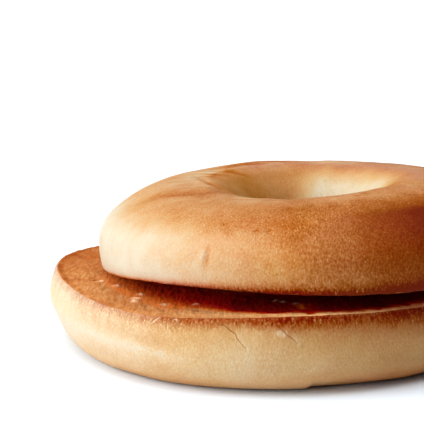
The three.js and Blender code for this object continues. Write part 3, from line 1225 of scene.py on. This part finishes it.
# %% The bread material
BREAD_IOR = 1.45
SHINE = 0.1
SHINE_TINT = "#ffb066"
BORDER_RAGGED_MM = 0.5
BORDER_SOFT_MM = 0.4
SKIN_ROUGHNESS = 0.48
CRUMB_ROUGHNESS = 0.85
# How much rougher the grain, the covered crumb and the glints are.
GRAIN_ROUGHER = 0.15
COVERED_ROUGHER = 0.12
GLINT_ROUGHER = -0.5


def bread(name, crust_stops):
    """Baked crust and toasted crumb in one material."""
    material = bpy.data.materials.new(name)
    material.use_nodes = True
    tree = material.node_tree
    tree.nodes.clear()
    stored = {
        key: add(tree, "ShaderNodeAttribute", {"attribute_name": key}).outputs["Fac"]
        for key in STORED
    }
    fine = fine_patterns(tree)

    border = add(tree, "ShaderNodeMath", MULTIPLY_ADD, {
        0: fine["grain"], 1: BORDER_RAGGED_MM, 2: stored["border"],
    })
    is_crust = add(tree, "ShaderNodeMapRange", SOFT_STEP, {
        "Value": border, "From Min": 0.0, "From Max": BORDER_SOFT_MM,
    }).outputs[0]

    matt = add(tree, "ShaderNodeMath", MULTIPLY_ADD, {
        0: stored["moist"], 1: COVERED_ROUGHER, 2: CRUMB_ROUGHNESS,
    })
    matt = add(tree, "ShaderNodeMath", MULTIPLY_ADD, {
        0: stored["glint"], 1: GLINT_ROUGHER, 2: matt,
    })
    satin = add(tree, "ShaderNodeMath", MULTIPLY_ADD, {
        0: fine["grain"], 1: GRAIN_ROUGHER, 2: SKIN_ROUGHNESS,
    })
    roughness = add(tree, "ShaderNodeMix", {}, {
        "Factor": is_crust, NUMBER_A: matt, NUMBER_B: satin,
    })
    colour = add(tree, "ShaderNodeMix", COLOURS, {
        "Factor": is_crust,
        COLOUR_A: crumb_colour(tree, stored, fine),
        COLOUR_B: crust_colour(tree, stored, fine, crust_stops),
    })
    shader = add(tree, "ShaderNodeBsdfPrincipled", {}, {
        "Base Color": colour.outputs[COLOUR_OUT],
        "Roughness": roughness,
        "IOR": BREAD_IOR,
        "Specular IOR Level": SHINE,
        "Specular Tint": SHINE_TINT,
        "Normal": fine_relief(tree, fine, is_crust),
    })
    add(tree, "ShaderNodeOutputMaterial", {}, {"Surface": shader})
    return material


bottom_piece.data.materials.append(bread("pale_crust_and_toast", PALE_CRUST))
top_piece.data.materials.append(bread("golden_crust_and_toast", GOLDEN_CRUST))
print("materials:", bottom_piece.active_material.name, top_piece.active_material.name)

# %% [markdown]
# ## Studio
# A sheet of white paper under a large soft light from the left, a second one lower down and a
# broad one overhead. The paper is lit so brightly that it shows pure white, apart from the
# soft shadow where the bread rests. Area lamps would fall off across the paper. Sun lamps with
# a wide angle are as soft, and light all of it evenly.

# %% Floor
FLOOR_SIZE = 8.0  # in metres
PAPER_COLOUR = "#e8f4ff"
PAPER_ROUGHNESS = 0.9


def make_floor():
    """A sheet of uncoated paper: matt, so that nothing is mirrored in it."""
    mesh = bpy.data.meshes.new("floor")
    reach = FLOOR_SIZE / 2
    corners = [(-reach, -reach, 0), (reach, -reach, 0), (reach, reach, 0), (-reach, reach, 0)]
    mesh.from_pydata(corners, [], [(0, 1, 2, 3)])
    floor = bpy.data.objects.new("floor", mesh)
    bpy.context.scene.collection.objects.link(floor)
    paper = bpy.data.materials.new("white_paper")
    paper.use_nodes = True
    shader = paper.node_tree.nodes["Principled BSDF"]
    shader.inputs["Base Color"].default_value = linear(PAPER_COLOUR)
    shader.inputs["Roughness"].default_value = PAPER_ROUGHNESS
    mesh.materials.append(paper)


make_floor()
print(f"floor {FLOOR_SIZE:.0f} m across")

# %% Lights
# Where each lamp stands, the white it makes, and how wide it looks, in degrees.
LAMPS = {
    "key_left": {"from_azimuth": -142, "elevation": 30, "strength": 0.75, "width": 50},
    "low_left": {"from_azimuth": -172, "elevation": 14, "strength": 0.72, "width": 50},
    "overhead": {"from_azimuth": 0, "elevation": 90, "strength": 0.96, "width": 70},
}
FILL_COLOUR = "#ffffff"
FILL_STRENGTH = 0.065


def soft_light(name, from_azimuth, elevation, strength, width):
    """A large soft light far away."""
    light = bpy.data.lights.new(name, "SUN")
    light.energy = strength * math.pi
    light.angle = math.radians(width)
    lamp = bpy.data.objects.new(name, light)
    flat = math.cos(math.radians(elevation))
    lamp_from = Vector((
        flat * math.cos(math.radians(from_azimuth)),
        flat * math.sin(math.radians(from_azimuth)),
        math.sin(math.radians(elevation)),
    ))
    lamp.rotation_euler = lamp_from.to_track_quat("Z", "Y").to_euler()
    bpy.context.scene.collection.objects.link(lamp)


for name, settings in LAMPS.items():
    soft_light(name, **settings)

world = bpy.data.worlds.new("studio")
world.use_nodes = True
background = world.node_tree.nodes["Background"]
background.inputs["Color"].default_value = linear(FILL_COLOUR)
background.inputs["Strength"].default_value = FILL_STRENGTH
bpy.context.scene.world = world
bpy.context.scene.view_settings.view_transform = "Standard"
print("lamps:", ", ".join(LAMPS))

# %% [markdown]
# ## Camera
# The camera looks down at about 12 degrees from less than half a metre away. A long lens keeps
# the near and the far side of the ring almost equally large. The bagel runs out of the frame
# on the right.

# %% Camera
IMAGE_WIDTH = 424
SENSOR_MM = 36.0
FOCAL_PIXELS = 1781.7
CAMERA_DISTANCE = 450.0
CAMERA_ELEVATION = math.radians(11.94)
CAMERA_ACROSS = 3.09
AIM = (-19.22, -0.4, 32.06)

camera_data = bpy.data.cameras.new("camera")
camera_data.sensor_width = SENSOR_MM
camera_data.lens = FOCAL_PIXELS / IMAGE_WIDTH * SENSOR_MM
camera_data.clip_start = 0.01
camera = bpy.data.objects.new("camera", camera_data)
camera.location = Vector((
    CAMERA_ACROSS,
    AIM[1] - CAMERA_DISTANCE * math.cos(CAMERA_ELEVATION),
    AIM[2] + CAMERA_DISTANCE * math.sin(CAMERA_ELEVATION),
)) * MM
direction = Vector(AIM) * MM - camera.location
camera.rotation_euler = direction.to_track_quat("-Z", "Y").to_euler()
bpy.context.scene.collection.objects.link(camera)
bpy.context.scene.camera = camera
print(f"lens {camera_data.lens:.0f} mm")
